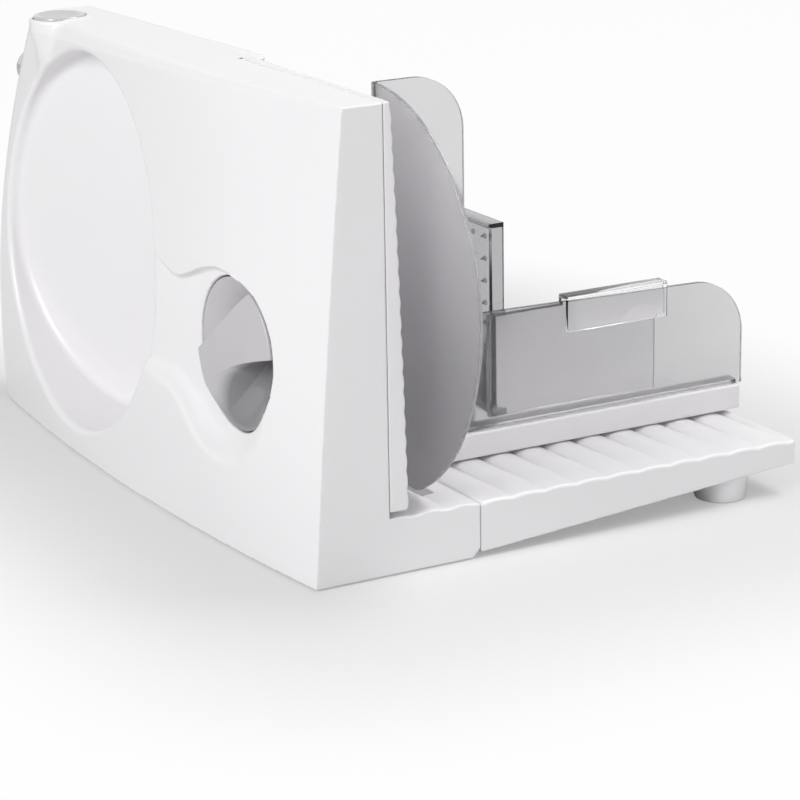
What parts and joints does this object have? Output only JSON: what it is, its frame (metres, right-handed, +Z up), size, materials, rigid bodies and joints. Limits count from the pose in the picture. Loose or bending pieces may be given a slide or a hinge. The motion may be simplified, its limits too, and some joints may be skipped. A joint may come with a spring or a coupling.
{
  "type": "food slicer",
  "caption": "Upright household food slicer with a worm-driven toothed blade, thickness knob and stop plate, ribbed table, sliding see-through carriage and pusher.",
  "frame": {"origin": "middle of the bounding box's footprint, on the surface that the slicer stands on", "axes": "+X from the slice outlet towards the food, +Y from the knob end towards the switch end, +Z up"},
  "size_m": [0.26, 0.3762, 0.201],
  "materials": {
    "white_plastic": "smooth semi-gloss white moulding",
    "knob_plastic": "light grey moulding",
    "smoky_plastic": "clear smoky grey plastic, polished edges",
    "blade_steel": "ground stainless steel",
    "steel": "drawn bright steel",
    "gear_plastic": "natural nylon",
    "dark_plastic": "fine matte black",
    "rubber": "matte rubber",
    "motor_iron": "plated sheet steel and ferrite",
    "rotor": "laminations and copper winding",
    "brass": "turned brass"
  },
  "bodies": {
    "housing": {"back_housing": "white_plastic", "base_plate": "white_plastic", "rubber_foot_1": "rubber", "rubber_foot_2": "rubber", "rubber_foot_3": "rubber", "rubber_foot_4": "rubber", "guide_panel": "white_plastic", "drive_cover": "white_plastic", "table": "white_plastic", "table_hinge_pin_1": "steel", "table_hinge_pin_2": "steel", "table_foot_near": "white_plastic", "table_foot_far": "white_plastic", "blade_axle": "steel", "idler_axle": "steel", "motor_can": "motor_iron", "motor_end_cap": "dark_plastic", "motor_magnet_1": "motor_iron", "motor_magnet_2": "motor_iron", "worm_bearing": "brass", "microswitch": "dark_plastic", "cord_grommet": "rubber", "on_button_spring": "steel", "safety_spring": "steel"},
    "blade_unit": {"blade": "blade_steel", "blade_gear": "gear_plastic", "blade_lock": "dark_plastic"},
    "idler": {"idler_gear": "gear_plastic"},
    "rotor": {"armature": "rotor", "worm": "brass"},
    "thickness_control": {"thickness_knob": "knob_plastic", "thickness_drum": "gear_plastic"},
    "stop": {"stop_plate": "white_plastic", "guide_rod_upper": "steel", "guide_rod_lower": "steel"},
    "carriage": {"carriage_beam": "white_plastic", "carriage_shield": "smoky_plastic"},
    "pusher": {"pusher_plate": "smoky_plastic", "pusher_grip": "smoky_plastic"},
    "on_push": {"on_button": "white_plastic"},
    "safety_push": {"safety_button": "white_plastic"}
  },
  "joints": [
    {"name": "motor_spin", "type": "hinge", "parent": "housing", "child": "rotor", "pos_m": [-0.09152, 0.15292, 0.101], "axis": [0, 0, 1], "continuous": true},
    {"name": "idler_spin", "type": "hinge", "parent": "housing", "child": "idler", "pos_m": [-0.09152, 0.13167, 0.101], "axis": [1, 0, 0], "continuous": true},
    {"name": "blade_spin", "type": "hinge", "parent": "housing", "child": "blade_unit", "pos_m": [-0.06302, 0.07442, 0.101], "axis": [1, 0, 0], "continuous": true},
    {"name": "knob_turn", "type": "hinge", "parent": "housing", "child": "thickness_control", "pos_m": [-0.10502, -0.08658, 0.085], "axis": [-1, 0, 0], "range_deg": [0, 300]},
    {"name": "stop_slide", "type": "slide", "parent": "housing", "child": "stop", "axis": [1, 0, 0], "range_m": [0, 0.014]},
    {"name": "carriage_slide", "type": "slide", "parent": "housing", "child": "carriage", "axis": [0, 1, 0], "range_m": [-0.03, 0.185]},
    {"name": "pusher_slide", "type": "slide", "parent": "carriage", "child": "pusher", "axis": [1, 0, 0], "range_m": [-0.042, 0.038]},
    {"name": "on_button_press", "type": "slide", "parent": "housing", "child": "on_push", "axis": [0, 0, -1], "range_m": [0, 0.003], "stiffness_N_per_m": 400, "deforming": ["on_button_spring"]},
    {"name": "safety_button_press", "type": "slide", "parent": "housing", "child": "safety_push", "axis": [0, -1, 0], "range_m": [0, 0.003], "stiffness_N_per_m": 400, "deforming": ["safety_spring"]}
  ],
  "couplings": [
    {"joint": "idler_spin", "follows": "motor_spin", "ratio": -0.03125},
    {"joint": "blade_spin", "follows": "motor_spin", "ratio": 0.0074728},
    {"joint": "knob_turn", "follows": "stop_slide", "rad_per_m": 374}
  ]
}
